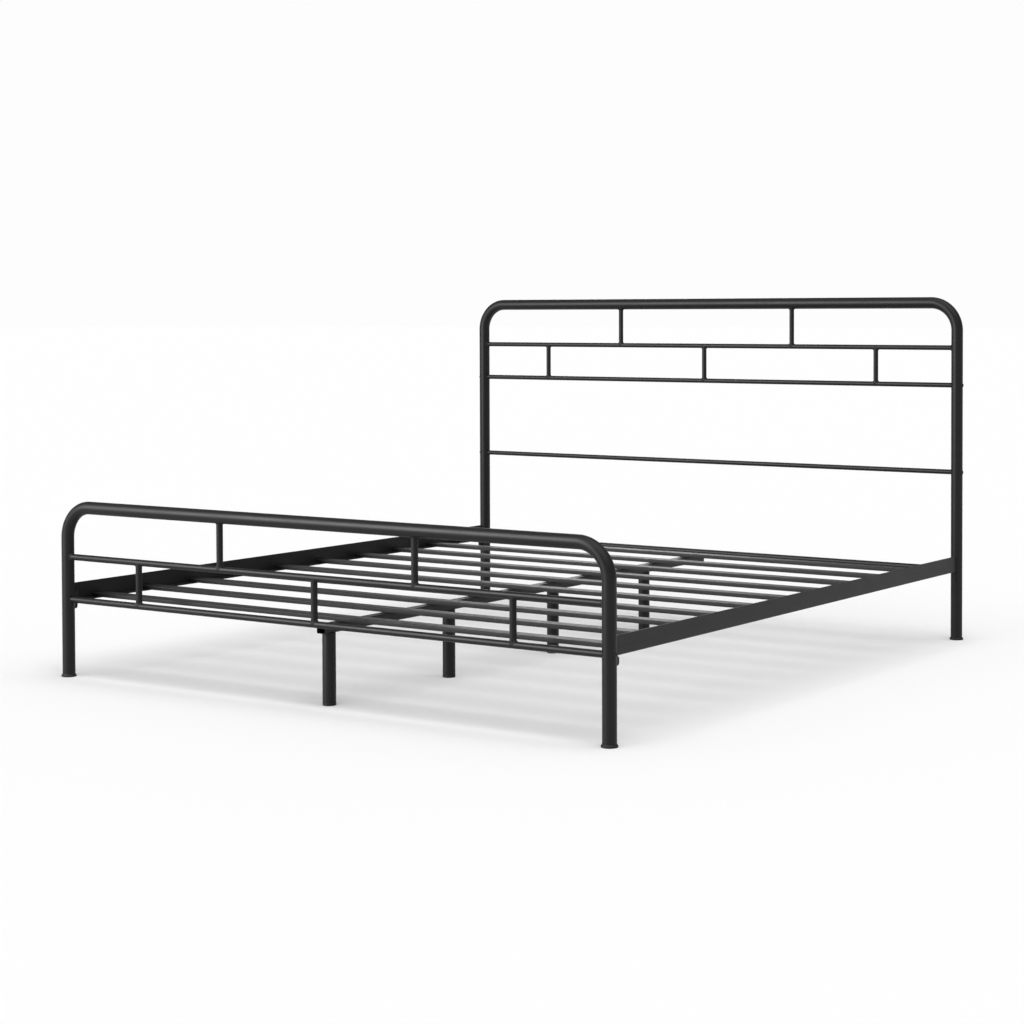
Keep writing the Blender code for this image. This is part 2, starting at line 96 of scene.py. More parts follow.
# Bolts, caps and glides
BOLT_HOLE = 0.0043
BAR_BOLT_SHANK = 0.003
BAR_BOLT_SOCKET = 0.0020
BAR_BOLT_SOCKET_FLOOR = 0.25
BAR_BOLT_SOCKET_EDGE = 0.0003
DOME_FALL = 0.62
DOME_POWER = 2.2
BOLT_EDGE = 0.0004
RAIL_BOLT_SHANK = 0.004
RAIL_BOLT_HEAD = 0.0053
RAIL_BOLT_CONE = 0.96
RAIL_BOLT_CONE_SLOPE = math.tan(math.radians(30))
RAIL_BOLT_TIP = 0.0007
STUD_HOLE = 0.0043
STUD_HOLE_SPAN = (-0.002, 0.003)
NUT_FLAT = 0.0065
NUT_HEIGHT = 0.0065
THREAD_PITCH = 0.00125
THREAD_DEPTH = 0.0005
RAIL_THREAD_DEPTH = 0.0004
HOLE_REACH = 0.01
CAP_LIP = 0.004
CAP_HEIGHT = 0.009
CAP_EDGE = 0.0012
CAP_RIM = 0.0004
CAP_DISH = 0.0004
STEM_TAPER = 0.002
STEM_TIP = 0.004
GLIDE_HEIGHT = 0.008
GLIDE_EDGE = 0.0015
GLIDE_RIM = 0.0003
GLIDE_TAPER = 0.001
STUD_TIP = 0.0006
LEG_RIM = 0.0006
LEG_EDGE = 0.0003
LEG_DISC = 0.003
LEG_DISC_MIDDLE = 0.002
LEG_GROOVE = 0.0012
LEG_GROOVE_MIDDLE = 0.0007
LEG_GROOVE_DEPTH = 0.0003

# Brightness of the studio
FLOOR_WHITE = 0.885
ROOM_ON_SURFACES = 0.45
ROOM_IN_GLOSS = 0.30
ROOM_BEHIND = 0.982

SIDES = {"left": -1.0, "right": 1.0}
ENDS = {"foot": -1.0, "head": 1.0}


# Finishes


class Link:
    """A shader socket that arithmetic on it turns into Math nodes."""

    def __init__(self, shop, socket):
        self.shop = shop
        self.socket = socket

    def math(self, operation, first, second):
        return self.shop.add("ShaderNodeMath", {"operation": operation}, {0: first, 1: second})

    def __add__(self, other):
        return self.math("ADD", self, other)

    __radd__ = __add__

    def __mul__(self, other):
        return self.math("MULTIPLY", self, other)

    __rmul__ = __mul__

    def __sub__(self, other):
        return self.math("SUBTRACT", self, other)

    def __rsub__(self, other):
        return self.math("SUBTRACT", other, self)

    def step(self, low, high):
        """0 below low, 1 above high, smooth in between."""
        settings = {"interpolation_type": "SMOOTHSTEP"}
        values = {"Value": self, "From Min": low, "From Max": high}
        return self.shop.add("ShaderNodeMapRange", settings, values)


class Shop:
    """The nodes of one finish."""

    def __init__(self, name):
        self.finish = bpy.data.materials.new(name)
        self.finish.use_nodes = True
        self.tree = self.finish.node_tree
        self.shader = self.tree.nodes["Principled BSDF"]

    def add(self, kind, settings=None, values=None, output=0):
        """One node of a kind: its settings first, then a value or link for each input."""
        node = self.tree.nodes.new(kind)
        for name, value in (settings or {}).items():
            setattr(node, name, value)
        for name, value in (values or {}).items():
            self.feed(node.inputs[name], value)
        return Link(self, node.outputs[output])

    def feed(self, socket, value):
        if isinstance(value, Link):
            self.tree.links.new(value.socket, socket)
        else:
            socket.default_value = value

    def set(self, **values):
        """Values or links for the inputs of the finish itself, such as Base_Color."""
        for name, value in values.items():
            self.feed(self.shader.inputs[name.replace("_", " ")], value)

    def place(self):
        return self.add("ShaderNodeTexCoord", output=3)

    def height(self):
        """Height above the floor."""
        return self.add("ShaderNodeSeparateXYZ", values={"Vector": self.place()}, output=2)

    def noise(self, scale, detail=2.0, roughness=0.5, distortion=0.0):
        """Even noise from 0 to 1, with about scale grains to the metre."""
        values = {
            "Vector": self.place(),
            "Scale": scale,
            "Detail": detail,
            "Roughness": roughness,
            "Distortion": distortion,
        }
        return self.add("ShaderNodeTexNoise", values=values)

    def pebbles(self, scale):
        """Round cells from 0 at their middles, with about scale of them to the metre."""
        values = {"Vector": self.place(), "Scale": scale, "Smoothness": 0.6}
        return self.add("ShaderNodeTexVoronoi", {"feature": "SMOOTH_F1"}, values)

    def mix(self, share, first, second):
        """Blends two colours."""
        values = {0: share, 6: (*first, 1.0), 7: (*second, 1.0)}
        return self.add("ShaderNodeMix", {"data_type": "RGBA"}, values, 2)

    def bump(self, height, distance, strength=1.0):
        values = {"Height": height, "Distance": distance, "Strength": strength}
        return self.add("ShaderNodeBump", values=values)


def powder_coat():
    """Satin black powder: fine orange peel, gloss that drifts a little, and sparse dust grains."""
    shop = Shop("satin_black_powder")
    drift = shop.noise(9.0, 3.0)
    cloud = shop.noise(85.0, 4.0, 0.6)
    peel = 1 - shop.pebbles(620.0)
    fine = shop.noise(1500.0, 2.0)
    specks = shop.noise(420.0, 1.0).step(0.70, 0.76)
    thin, thick = (0.0062, 0.0063, 0.0068), (0.0105, 0.0106, 0.0112)
    colour = shop.mix(0.65 * drift + 0.35 * cloud, thin, thick)
    relief = peel + 0.35 * fine + 0.8 * specks
    shop.set(
        Base_Color=colour,
        Roughness=0.34 + 0.10 * drift + 0.08 * cloud + 0.05 * fine,
        Normal=shop.bump(relief, 0.00008, 0.55),
        Specular_IOR_Level=0.23,
    )
    return shop.finish


def moulded_plastic():
    """Matt black moulded plastic: fine spark grain, and pale scuffing where it meets the floor."""
    shop = Shop("matt_black_plastic")
    grain = shop.noise(2200.0, 3.0, 0.7)
    flow = shop.noise(60.0, 3.0)
    near_floor = 1 - shop.height().step(0.0004, 0.0022)
    scuff = near_floor * shop.noise(900.0, 4.0, 0.7).step(0.48, 0.62)
    colour = shop.mix(0.5 * scuff + 0.2 * flow, (0.0080, 0.0080, 0.0085), (0.045, 0.044, 0.043))
    shop.set(
        Base_Color=colour,
        Roughness=0.52 + 0.10 * grain + 0.12 * flow + 0.10 * scuff,
        Normal=shop.bump(grain, 0.00006, 0.6),
        Specular_IOR_Level=0.26,
    )
    return shop.finish


def blackened_steel():
    """Oil-blackened steel: uneven oxide over a metal that shows through in small worn spots."""
    shop = Shop("oil_blackened_steel")
    oxide = shop.noise(260.0, 4.0, 0.65)
    worn = shop.noise(700.0, 3.0, 0.6).step(0.62, 0.72)
    colour = shop.mix(0.45 * oxide + 0.45 * worn, (0.020, 0.020, 0.022), (0.085, 0.083, 0.080))
    shop.set(
        Base_Color=colour,
        Roughness=0.30 + 0.22 * oxide - 0.06 * worn,
        Metallic=0.85,
        Normal=shop.bump(oxide, 0.00005, 0.5),
    )
    return shop.finish


FINISHES = {
    "powder_coat": (powder_coat(), "coated"),
    "cap_plastic": (moulded_plastic(), "moulded"),
    "black_steel": (blackened_steel(), "blackened"),
}


# Shapes. A skin is its points and its blocks of faces, and is closed.


def ring_quads(rows, columns, closed):
    """Faces (r, c), (r, c + 1), (r + 1, c + 1), (r + 1, c) of a grid whose columns go round."""
    row = np.arange(rows if closed else rows - 1)[:, None]
    column = np.arange(columns)[None, :]
    next_row = (row + 1) % rows
    next_column = (column + 1) % columns
    corners = [
        row * columns + column,
        row * columns + next_column,
        next_row * columns + next_column,
        next_row * columns + column,
    ]
    return np.stack(np.broadcast_arrays(*corners), axis=-1).reshape(-1, 4)


def looped(rings):
    """A skin over rings that come back to the first one, as round a tube wall or a weld."""
    rows, columns, _ = rings.shape
    return rings.reshape(-1, 3), [ring_quads(rows, columns, True)]


def capped(rings):
    """A skin over a stack of rings, each end closed by a fan to the middle of its ring."""
    rows, columns, _ = rings.shape
    here = np.arange(columns)
    after = (here + 1) % columns
    last = (rows - 1) * columns
    pole = np.full(columns, rows * columns)
    fans = [
        np.stack([here, after, pole], axis=1),
        np.stack([last + here, last + after, pole + 1], axis=1),
    ]
    points = np.concatenate([rings.reshape(-1, 3), [rings[0].mean(0), rings[-1].mean(0)]])
    return points, [ring_quads(rows, columns, False), *fans]


def flat_ended(rings):
    """A skin over a stack of flat rings of any outline, each end closed by one face."""
    rows, columns, _ = rings.shape
    ends = np.array([np.arange(columns), (rows - 1) * columns + np.arange(columns)])
    return rings.reshape(-1, 3), [ring_quads(rows, columns, False), ends]


def new_mesh(name, skins):
    """A mesh of closed skins, every face turned outwards."""
    points = np.concatenate([skin[0] for skin in skins])
    starts = np.cumsum([0] + [len(skin[0]) for skin in skins])
    faces = []
    for start, (_, blocks) in zip(starts, skins):
        for block in blocks:
            faces += (block + start).tolist()
    mesh = bpy.data.meshes.new(name)
    mesh.from_pydata(points.tolist(), [], faces)
    work = bmesh.new()
    work.from_mesh(mesh)
    bmesh.ops.recalc_face_normals(work, faces=work.faces)
    work.to_mesh(mesh)
    work.free()
    return mesh


def soften(mesh, degrees):
    """Smooth shading, with a crease wherever two faces meet at more than this angle."""
    mesh.polygons.foreach_set("use_smooth", np.ones(len(mesh.polygons), dtype=bool))
    mesh.set_sharp_from_angle(angle=math.radians(degrees))


def cut(item, skins):
    """Takes closed skins out of a piece and keeps what is left as its mesh."""
    tool = bpy.data.objects.new("cutter", new_mesh("cutter", skins))
    bpy.context.scene.collection.objects.link(tool)
    step = item.modifiers.new("cut", "BOOLEAN")
    step.operation = "DIFFERENCE"
    step.solver = "EXACT"
    step.object = tool
    shaped = item.evaluated_get(bpy.context.evaluated_depsgraph_get())
    mesh = bpy.data.meshes.new_from_object(shaped)
    item.modifiers.clear()
    bpy.data.objects.remove(tool)
    item.data = mesh


def new_piece(name, slot, skins, holes=(), crease=CREASE):
    """A piece on the fixed body, cut, shaded and given the finish of its slot."""
    item = bpy.data.objects.new(name, new_mesh(name, skins))
    bpy.context.scene.collection.objects.link(item)
    if holes:
        cut(item, holes)
    item.data.materials.clear()
    item.data.materials.append(FINISHES[slot][0])
    soften(item.data, crease)
    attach(item, "root")
    return item


def finish_piece(node, slot, skins, holes=(), edge=0.0, crease=CREASE):
    """One finished piece that stands for a CAD node, its sharp edges broken by a width edge."""
    item = new_piece(f"{node}_{FINISHES[slot][1]}", slot, skins, holes, crease)
    if edge:
        broken = item.modifiers.new("broken_edges", "BEVEL")
        broken.width = edge
        broken.segments = 2
        broken.limit_method = "ANGLE"
        broken.angle_limit = math.radians(crease)
    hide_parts(node)


def turned(radius, height, place, sides=TUBE_SIDES):
    """Point (r cos t, r sin t, h) at turn t, where radius r and height h change from ring to ring,
    and may change with t as well, then moved to its place."""
    turn = np.arange(sides) * 2 * np.pi / sides
    radius = np.broadcast_to(np.reshape(radius, (len(radius), -1)), (len(radius), sides))
    height = np.broadcast_to(np.reshape(height, (len(height), -1)), (len(height), sides))
    rings = np.stack([radius * np.cos(turn), radius * np.sin(turn), height], axis=-1)
    turning = np.array(place)
    return capped(rings @ turning[:3, :3].T + turning[:3, 3])


def upright(outline, centre):
    """An outline of radius and height, turned round the upright through a centre."""
    return turned(outline[:, 0], outline[:, 1], Matrix.Translation((centre.x, centre.y, 0)))


def arc(about, radius, first, last, steps=6):
    """Points about + radius (cos a, sin a), as a goes from first to last in degrees."""
    angle = np.radians(np.linspace(first, last, steps + 1))
    return np.array(about) + radius * np.stack([np.cos(angle), np.sin(angle)], axis=1)


def run(profile, axis, start, end):
    """Rings of a flat profile carried from start to end along an axis."""
    rings = [np.insert(profile, axis, distance, axis=1) for distance in (start, end)]
    return np.array(rings)


def middle(node):
    """The middle of a CAD node's box."""
    low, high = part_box(node)
    return (low + high) / 2


# Sizes that every end shares, read off the CAD

ARCH_LOW, ARCH_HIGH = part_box("footboard_arch")
POST_RADIUS = (ARCH_HIGH.y - ARCH_LOW.y) / 2
HALF_X = ARCH_HIGH.x - POST_RADIUS
HALF_Y = -(ARCH_HIGH.y + ARCH_LOW.y) / 2


# Welds


def bead(toe_a, toe_b, root, outward, swell, closed):
    """A weld bead: across from one toe to the other in a chord plus swell times sin(pi u) along
    outward, and shut behind through a point sunk below the root."""
    share = np.linspace(0, 1, WELD_STEPS)[None, :, None]
    bulge = swell[:, None, None] * np.sin(np.pi * share) * outward[:, None, :]
    face = toe_a[:, None, :] * (1 - share) + toe_b[:, None, :] * share + bulge
    behind = (root - WELD_SINK * outward)[:, None, :]
    rings = np.concatenate([face, behind], axis=1)
    return looped(rings) if closed else capped(rings)


def unit(vectors):
    return vectors / np.linalg.norm(vectors, axis=-1, keepdims=True)


def tube_weld(centre, away, along, thin, wide, start):
    """The bead where a thin tube stands square on a wide one. Round the thin tube at turn t the
    root is thin (cos t, sin t) off its axis, on the wide tube's surface; one toe is a leg further
    up the thin tube, the other a leg further out round the wide one, and the size ripples."""
    count = round(2 * math.pi * (thin + WELD_LEG / 2) / WELD_PITCH)
    turn = np.arange(4 * count) * 2 * np.pi / (4 * count)
    wave = np.cos(count * turn + start)
    wander = 1 + 0.08 * np.sin(3 * turn + start) + 0.05 * np.sin(7 * turn + 2 * start)
    leg = WELD_LEG * wander * (1 + 0.05 * wave)
    a = thin * np.cos(turn)
    b = thin * np.sin(turn)
    lean = np.arcsin(np.clip(b / wide, -1, 1))
    out = lean + leg * np.sin(turn) / wide
    zero = np.zeros_like(turn)
    root = np.stack([a, b, wide * np.cos(lean)], axis=1)
    toe_thin = root + np.stack([zero, zero, leg], axis=1)
    toe_wide = np.stack([a + leg * np.cos(turn), wide * np.sin(out), wide * np.cos(out)], axis=1)
    off_thin = np.stack([np.cos(turn), np.sin(turn), zero], axis=1)
    off_wide = np.stack([zero, np.sin(out), np.cos(out)], axis=1)
    outward = unit(off_thin + off_wide)
    swell = WELD_SWELL * wander * (1 + WELD_RIPPLE * wave)
    away = np.array(away, dtype=float)
    along = np.array(along, dtype=float)
    basis = np.stack([along, np.cross(away, along), away])
    place = [local @ basis for local in (toe_thin, toe_wide, root, outward)]
    centre = np.array(centre)
    return bead(place[0] + centre, place[1] + centre, place[2] + centre, place[3], swell, True)


def plate_weld(centre, away, facing, radius, level, start, end, seed):
    """The bead along the line where a plate's face, level above a tube's axis, meets the tube.
    One toe is a leg out on the plate, the other a leg round the tube, and both ends taper."""
    away = np.array(away, dtype=float)
    facing = np.array(facing, dtype=float)
    start = np.array(start, dtype=float)
    end = np.array(end, dtype=float)
    length = np.linalg.norm(end - start)
    count = max(round(length / WELD_PITCH), 3)
    share = np.linspace(0, 1, 4 * count + 1)
    wave = np.cos(2 * np.pi * count * share + seed)
    taper = np.clip(1 - np.abs(2 * share - 1) ** 8, 0.02, 1) ** 0.5
    leg = WELD_LEG * taper * (1 + 0.05 * wave + 0.06 * np.sin(5 * share + seed))
    contact = math.asin(level / radius)
    out = (contact + leg / radius)[:, None]
    spine = np.array(centre) + start + (end - start) * share[:, None]
    foot = radius * (math.cos(contact) * away + math.sin(contact) * facing)
    root = spine + foot
    toe_plate = root + (leg[:, None] + FIT_GAP) * away
    off_tube = np.cos(out) * away + np.sin(out) * facing
    toe_tube = spine + radius * off_tube
    outward = unit(off_tube + facing)
    swell = WELD_SWELL * taper * (1 + WELD_RIPPLE * wave)
    return bead(toe_plate, toe_tube, root, outward, swell, False)


# Headboard and footboard


def arch(node):
    """Two posts and a top rail in one bent tube. Along the bend at turn t the axis is
    (b - b cos t, b sin t) for bend radius b; the ring round it flattens a little in the bend, in
    the plane of the bend by sin(2 t) squared, and a second ring a wall inside it makes the bore."""
    low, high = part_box(node)
    y = (low.y + high.y) / 2
    shoulder = high.z - POST_RADIUS - BEND_RADIUS
    turn = np.linspace(0, np.pi / 2, BEND_STEPS + 1)
    x = BEND_RADIUS * (1 - np.cos(turn)) - HALF_X
    z = shoulder + BEND_RADIUS * np.sin(turn)
    x = np.concatenate([[-HALF_X], x, -x[::-1], [HALF_X]])[:, None]
    z = np.concatenate([[low.z], z, z[::-1], [low.z]])[:, None]
    turn = np.concatenate([[0], turn, np.pi - turn[::-1], [np.pi]])[:, None]
    squeeze = BEND_FLATTENING * np.sin(2 * turn) ** 2
    angle = np.arange(TUBE_SIDES)[None, :] * 2 * np.pi / TUBE_SIDES

    def rings(radius):
        inward = radius * (1 - squeeze) * np.cos(angle)
        sideways = radius * (1 + squeeze / 2) * np.sin(angle)
        points = [x + inward * np.cos(turn), y + sideways, z - inward * np.sin(turn)]
        return np.stack(points, axis=-1)

    outer = rings(POST_RADIUS)
    inner = rings(POST_RADIUS - TUBE_WALL)
    finish_piece(node, "powder_coat", [looped(np.concatenate([outer, inner[::-1]]))])


def thin_tube(radius, first, last, axis, centre):
    """A thin tube whose two ends are cut to the tubes they meet: round it at turn t, its end lies
    sqrt(wide^2 - (radius sin t)^2) from the axis of the wide tube. first and last are the place
    along the axis and the radius of each wide tube."""
    angle = np.arange(THIN_SIDES) * 2 * np.pi / THIN_SIDES

    def rings(size):
        lift = size * np.cos(angle)
        offset = size * np.sin(angle)
        ends = [
            first[0] + np.sqrt((first[1] + FIT_GAP) ** 2 - offset ** 2),
            last[0] - np.sqrt((last[1] + FIT_GAP) ** 2 - offset ** 2),
        ]
        y = centre[1] + offset
        if axis == 0:
            return np.array([np.stack([end, y, centre[2] + lift], axis=1) for end in ends])
        return np.array([np.stack([centre[0] + lift, y, end], axis=1) for end in ends])

    outer = rings(radius)
    inner = rings(radius - THIN_WALL)
    return looped(np.concatenate([outer, inner[::-1]]))


def bar(node, welded):
    """A cross bar between the posts, with a bead at each post if it is welded in."""
    low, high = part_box(node)
    centre = middle(node)
    radius = (high.z - low.z) / 2
    skins = [thin_tube(radius, (-HALF_X, POST_RADIUS), (HALF_X, POST_RADIUS), 0, centre)]
    if welded:
        for side in SIDES.values():
            post = (side * HALF_X, centre.y, centre.z)
            away = (-side, 0, 0)
            skins.append(tube_weld(post, away, (0, 0, 1), radius, POST_RADIUS, centre.z * 50))
    finish_piece(node, "powder_coat", skins)


def spindle(node, below, above):
    """A short upright between two tubes, with a bead at each end."""
    low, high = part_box(node)
    centre = middle(node)
    radius = (high.x - low.x) / 2
    skins = [thin_tube(radius, below, above, 2, centre)]
    for (level, wide), up in ((below, 1), (above, -1)):
        place = (centre.x, centre.y, level)
        skins.append(tube_weld(place, (0, 0, up), (1, 0, 0), radius, wide, 9 * centre.x + level))
    finish_piece(node, "powder_coat", skins)


def level_of(node):
    """The height of a level tube's axis, and its radius."""
    low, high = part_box(node)
    return (low.z + high.z) / 2, (high.z - low.z) / 2


def spindles(end, second):
    """The staggered spindles: two under the top rail, and three a row lower."""
    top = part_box(f"{end}board_arch")[1].z - POST_RADIUS
    upper = level_of(f"{end}board_upper_bar")
    lower = level_of(second)
    for side in ("left", "right"):
        spindle(f"{end}board_upper_spindle_{side}", upper, (top, POST_RADIUS))
    for side in ("left", "middle", "right"):
        spindle(f"{end}board_lower_spindle_{side}", lower, upper)


def hexagon_radius(turn, flat):
    """Distance from the middle of a hexagon to its outline at each turn, for a half width flat."""
    return flat / np.cos((turn + np.pi / 6) % (np.pi / 3) - np.pi / 6)


def along_x(x, y, z, side):
    """A place whose own Z points along X, towards side."""
    return Matrix.Translation((x, y, z)) @ Matrix.Rotation(side * math.pi / 2, 4, "Y")


def bar_bolt(node, side):
    """A button-head bolt through a post. The head of height h and radius R is a low dome
    h (1 - 0.62 (r / R)^2.2) with a hexagonal socket sunk in it, and its rim reaches down to the
    round of the post."""
    low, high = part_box(node)
    seat = HALF_X + POST_RADIUS
    rise = max(abs(low.x), abs(high.x)) - seat
    tip = min(abs(low.x), abs(high.x)) - seat
    head = (high.z - low.z) / 2
    turn = np.arange(TUBE_SIDES) * 2 * np.pi / TUBE_SIDES
    one = np.ones_like(turn)
    socket = hexagon_radius(turn, BAR_BOLT_SOCKET)
    dome = np.linspace(BAR_BOLT_SOCKET * 1.35, head * 0.97, 9)
    crown = rise * (1 - DOME_FALL * (dome / head) ** DOME_POWER)
    rim = np.sqrt(POST_RADIUS ** 2 - (head * np.sin(turn)) ** 2) - POST_RADIUS
    radius = [socket * 0.96, socket, socket * 1.06, *np.outer(dome, one)]
    height = [rise * BAR_BOLT_SOCKET_FLOOR * one, (crown[0] - BAR_BOLT_SOCKET_EDGE) * one]
    height += [crown[0] * one, *np.outer(crown, one)]
    radius += [head * one, head * one, BAR_BOLT_SHANK * one, BAR_BOLT_SHANK * one]
    height += [(crown[-1] - BOLT_EDGE) * one, rim, -BOLT_EDGE / 2 * one, tip * one]
    place = along_x(side * seat, (low.y + high.y) / 2, (low.z + high.z) / 2, side)
    finish_piece(node, "black_steel", [turned(radius, height, place)], crease=BOLT_CREASE)


def headboard():
    """The tall end: its upper and lower bars are welded in, and the two between are bolted."""
    arch("headboard_arch")
    bar("headboard_upper_bar", True)
    bar("headboard_second_bar", False)
    bar("headboard_middle_bar", False)
    bar("headboard_lower_bar", True)
    spindles("head", "headboard_second_bar")
    for label in ("second", "middle"):
        for side, sign in SIDES.items():
            bar_bolt(f"headboard_{label}_bar_bolt_{side}", sign)


def footboard():
    """The low end: its upper bar is welded in, and its lower bar is bolted."""
    arch("footboard_arch")
    bar("footboard_upper_bar", True)
    bar("footboard_lower_bar", False)
    spindles("foot", "footboard_lower_bar")
    for side, sign in SIDES.items():
        bar_bolt(f"footboard_lower_bar_bolt_{side}", sign)


# Feet


def foot_cap(node):
    """A plug in the end of a post: a flat sole with a round edge, a lip, and a collar that draws
    in to the tube along a cosine."""
    low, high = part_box(node)
    centre = middle(node)
    widest = (high.x - low.x) / 2
    bore = POST_RADIUS - TUBE_WALL - FIT_GAP
    edge = arc((widest - CAP_EDGE, CAP_EDGE), CAP_EDGE, -90, 0)
    share = np.linspace(0, 1, 9)
    sleeve = POST_RADIUS + FIT_GAP
    collar = widest + (sleeve - widest) * (1 - np.cos(np.pi * share)) / 2
    rise = CAP_LIP + (CAP_HEIGHT - CAP_LIP - CAP_RIM) * share
    shoulder = arc((sleeve - CAP_RIM, CAP_HEIGHT - CAP_RIM), CAP_RIM, 0, 90, 3)
    stem = [
        (bore, CAP_HEIGHT),
        (bore, high.z - STEM_TAPER),
        (bore - STEM_TAPER, high.z),
        (STEM_TIP, high.z),
    ]
    sole = [(widest * 0.45, CAP_DISH), (widest * 0.5, 0.0), (widest * 0.75, 0.0)]
    outline = np.concatenate([sole, edge, np.stack([collar, rise], axis=1), shoulder, stem])
    finish_piece(node, "cap_plastic", [upright(outline, centre)], crease=MOULDED_CREASE)


def glide(node):
    """A plug flush with a centre leg, with a round lower edge and a narrow shadow line on top."""
    top_of_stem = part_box(node)[1].z
    centre = middle(node)
    bore = POST_RADIUS - TUBE_WALL - FIT_GAP
    edge = arc((POST_RADIUS - GLIDE_EDGE, GLIDE_EDGE), GLIDE_EDGE, -90, 0)
    top = arc((POST_RADIUS - GLIDE_RIM, GLIDE_HEIGHT - GLIDE_RIM), GLIDE_RIM, 0, 90, 3)
    stem = [
        (bore, GLIDE_HEIGHT),
        (bore, top_of_stem - GLIDE_TAPER),
        (bore - GLIDE_TAPER, top_of_stem),
        (STEM_TIP, top_of_stem),
    ]
    outline = np.concatenate([[(POST_RADIUS * 0.5, 0.0)], edge, top, stem])
    finish_piece(node, "cap_plastic", [upright(outline, centre)], crease=MOULDED_CREASE)


def centre_leg(node):
    """An upright tube with a disc welded flush into its top and a threaded stud in the disc. The
    stud's radius is r - d (1 + cos(2 pi h / pitch)) / 2 at height h, for thread depth d."""
    low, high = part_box(node)
    centre = middle(node)
    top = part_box("centre_rail")[0].z - FIT_GAP
    bore = POST_RADIUS - TUBE_WALL
    length = high.z - top
    climb = np.linspace(0, length - STUD_TIP, 8 * int(length / THREAD_PITCH) + 1)
    wave = (1 + np.cos(2 * np.pi * climb / THREAD_PITCH)) / 2
    stud = np.stack([RAIL_BOLT_SHANK - THREAD_DEPTH * wave, top + climb], axis=1)[::-1]
    tip = [(RAIL_BOLT_SHANK - 2 * STUD_TIP, high.z)]
    weld_groove = [
        (bore - LEG_GROOVE, top),
        (bore - LEG_GROOVE_MIDDLE, top - LEG_GROOVE_DEPTH),
        (bore, top),
    ]
    rim = arc((POST_RADIUS - LEG_RIM, top - LEG_RIM), LEG_RIM, 90, 0, 4)
    foot = [
        (POST_RADIUS, low.z + LEG_EDGE),
        (POST_RADIUS - LEG_EDGE, low.z),
        (bore, low.z),
        (bore, top - LEG_DISC),
        (LEG_DISC_MIDDLE, top - LEG_DISC),
    ]
    outline = np.concatenate([tip, stud, weld_groove, rim, foot])
    finish_piece(node, "powder_coat", [upright(outline, centre)], crease=MOULDED_CREASE)


# Rails, brackets and slats


def side_rail(node, side):
    """A folded angle carried along Y: an upright web, a fold of constant thickness, and a flange
    that points inwards and is cut back where the brackets are."""
    low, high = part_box(node)
    outer = max(abs(low.x), abs(high.x))
    inner = min(abs(low.x), abs(high.x))
    bend = (outer - RAIL_FOLD, low.z + RAIL_FOLD)
    profile = np.concatenate([
        [(outer, high.z), (outer - RAIL_SHEET, high.z)],
        arc(bend, RAIL_FOLD - RAIL_SHEET, 0, -90),
        [(inner, low.z + RAIL_SHEET), (inner, low.z)],
        arc(bend, RAIL_FOLD, -90, 0),
    ])
    behind_web = outer - RAIL_SHEET - FIT_GAP / 2
    below, above = low.z - RAIL_SHEET, low.z + 2 * RAIL_FOLD
    past_flange = inner - RAIL_SHEET
    notch = np.array([
        (past_flange, below), (behind_web, below), (behind_web, above), (past_flange, above)
    ])
    profile[:, 0] *= side
    notch[:, 0] *= side
    holes = []
    for end, along in ENDS.items():
        label = f"{end}_{'left' if side < 0 else 'right'}"
        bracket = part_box(f"{label}_rail_bracket")
        clear = bracket[0 if along > 0 else 1].y - along * FLANGE_CUT_BACK
        holes.append(flat_ended(run(notch, 1, clear, along * (high.y + RAIL_SHEET))))
        bolt = middle(f"{label}_rail_bolt")
        place = along_x(side * outer, bolt.y, bolt.z, side)
        holes.append(turned([BOLT_HOLE, BOLT_HOLE], [-HOLE_REACH, HOLE_REACH], place, THIN_SIDES))
    finish_piece(node, "powder_coat", [flat_ended(run(profile, 1, low.y, high.y))], holes, CUT_EDGE)


def rail_bracket(node, side, end):
    """The plate between a post and a side rail, its outline carried through its thickness: a round
    heel, a neck under the rail's fold, a round upper corner and a bolt hole."""
    low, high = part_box(node)
    near, far = (high.y, low.y) if end > 0 else (low.y, high.y)
    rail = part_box("left_side_rail")[0].z
    neck = far + end * BRACKET_NECK_DEPTH
    heel = (far + end * BRACKET_HEEL, low.z + BRACKET_HEEL)
    top = (far + end * BRACKET_CORNER, high.z - BRACKET_CORNER)
    outline = np.concatenate([
        [(near, low.z)],
        arc(heel, BRACKET_HEEL, -90, -90 - 90 * end),
        [
            (far, rail - BRACKET_NECK_BELOW_RAIL),
            (neck, rail - BRACKET_NECK_BELOW_RAIL + BRACKET_NECK_SLOPE),
            (neck, rail + RAIL_SHEET),
            (far, rail + RAIL_SHEET),
        ],
        arc(top, BRACKET_CORNER, 90 + 90 * end, 90),
        [(near, high.z)],
    ])
    bolt = middle(node.replace("bracket", "bolt"))
    place = along_x((low.x + high.x) / 2, bolt.y, bolt.z, side)
    hole = turned([BOLT_HOLE, BOLT_HOLE], [-HOLE_REACH, HOLE_REACH], place, THIN_SIDES)
    plate = flat_ended(run(outline, 0, low.x, high.x))
    finish_piece(node, "powder_coat", [plate], [hole], CUT_EDGE)


